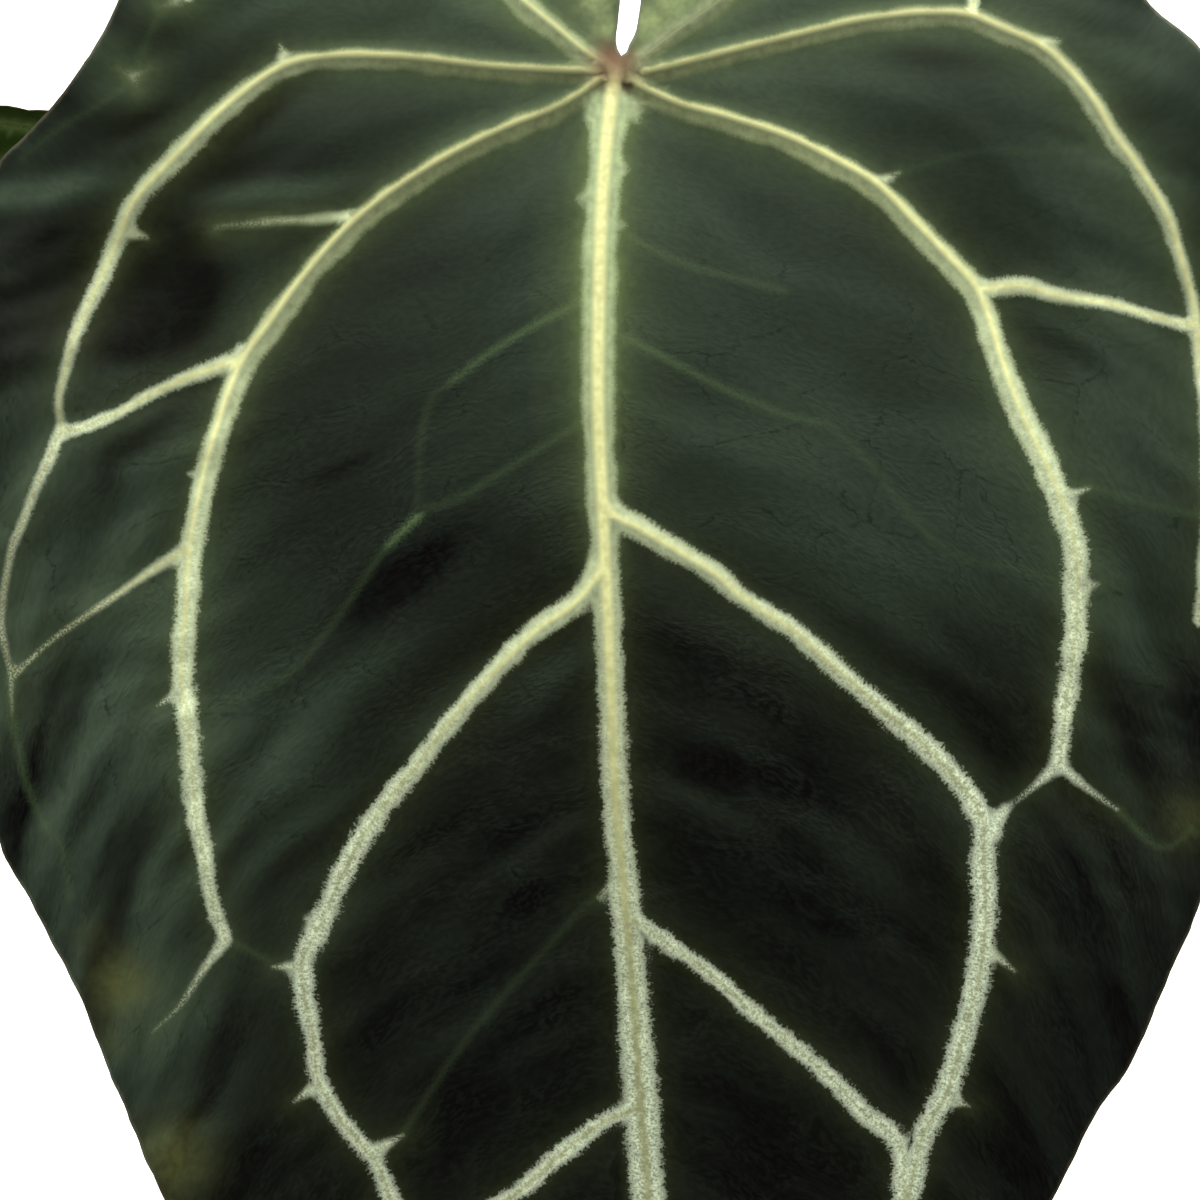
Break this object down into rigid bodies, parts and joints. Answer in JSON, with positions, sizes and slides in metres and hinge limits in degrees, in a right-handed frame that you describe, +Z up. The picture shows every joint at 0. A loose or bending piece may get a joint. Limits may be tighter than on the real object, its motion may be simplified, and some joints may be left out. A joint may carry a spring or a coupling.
{
  "type": "potted anthurium hybrid",
  "caption": "Potted aroid with large heart-shaped velvety leaves, dark with pale raised veins, on slim stalks from a short rootstock in a round tapered pot.",
  "frame": {"origin": "middle of the pot's flat foot, on the surface that the pot stands on", "axes": "+Z up the pot's axis; -Y towards the side that the large front leaf faces; +X to the right as seen from the front"},
  "size_m": [0.4757, 0.273, 0.3916],
  "materials": {
    "pot": "matte unglazed clay",
    "growing_mix": "rough bark chips with pale grains and moss",
    "root": "matte, slightly ribbed",
    "paper": "dry and papery",
    "shoot": "satin",
    "blade": "velvet, with pale yellow-green to silver veins",
    "young_blade": "velvet bronze, with pale veins",
    "stalk": "satin"
  },
  "bodies": {
    "root": {"pot": "pot", "growing_mix": "growing_mix", "rootstock": "root", "papery_collar": "paper", "new_shoot": "shoot", "front_blade": "blade", "front_stalk": "stalk", "left_blade": "blade", "left_stalk": "stalk", "right_blade": "blade", "right_stalk": "stalk", "back_right_blade": "blade", "back_right_stalk": "stalk", "back_left_blade": "blade", "back_left_stalk": "stalk", "young_blade": "young_blade", "young_stalk": "stalk"}
  },
  "joints": []
}
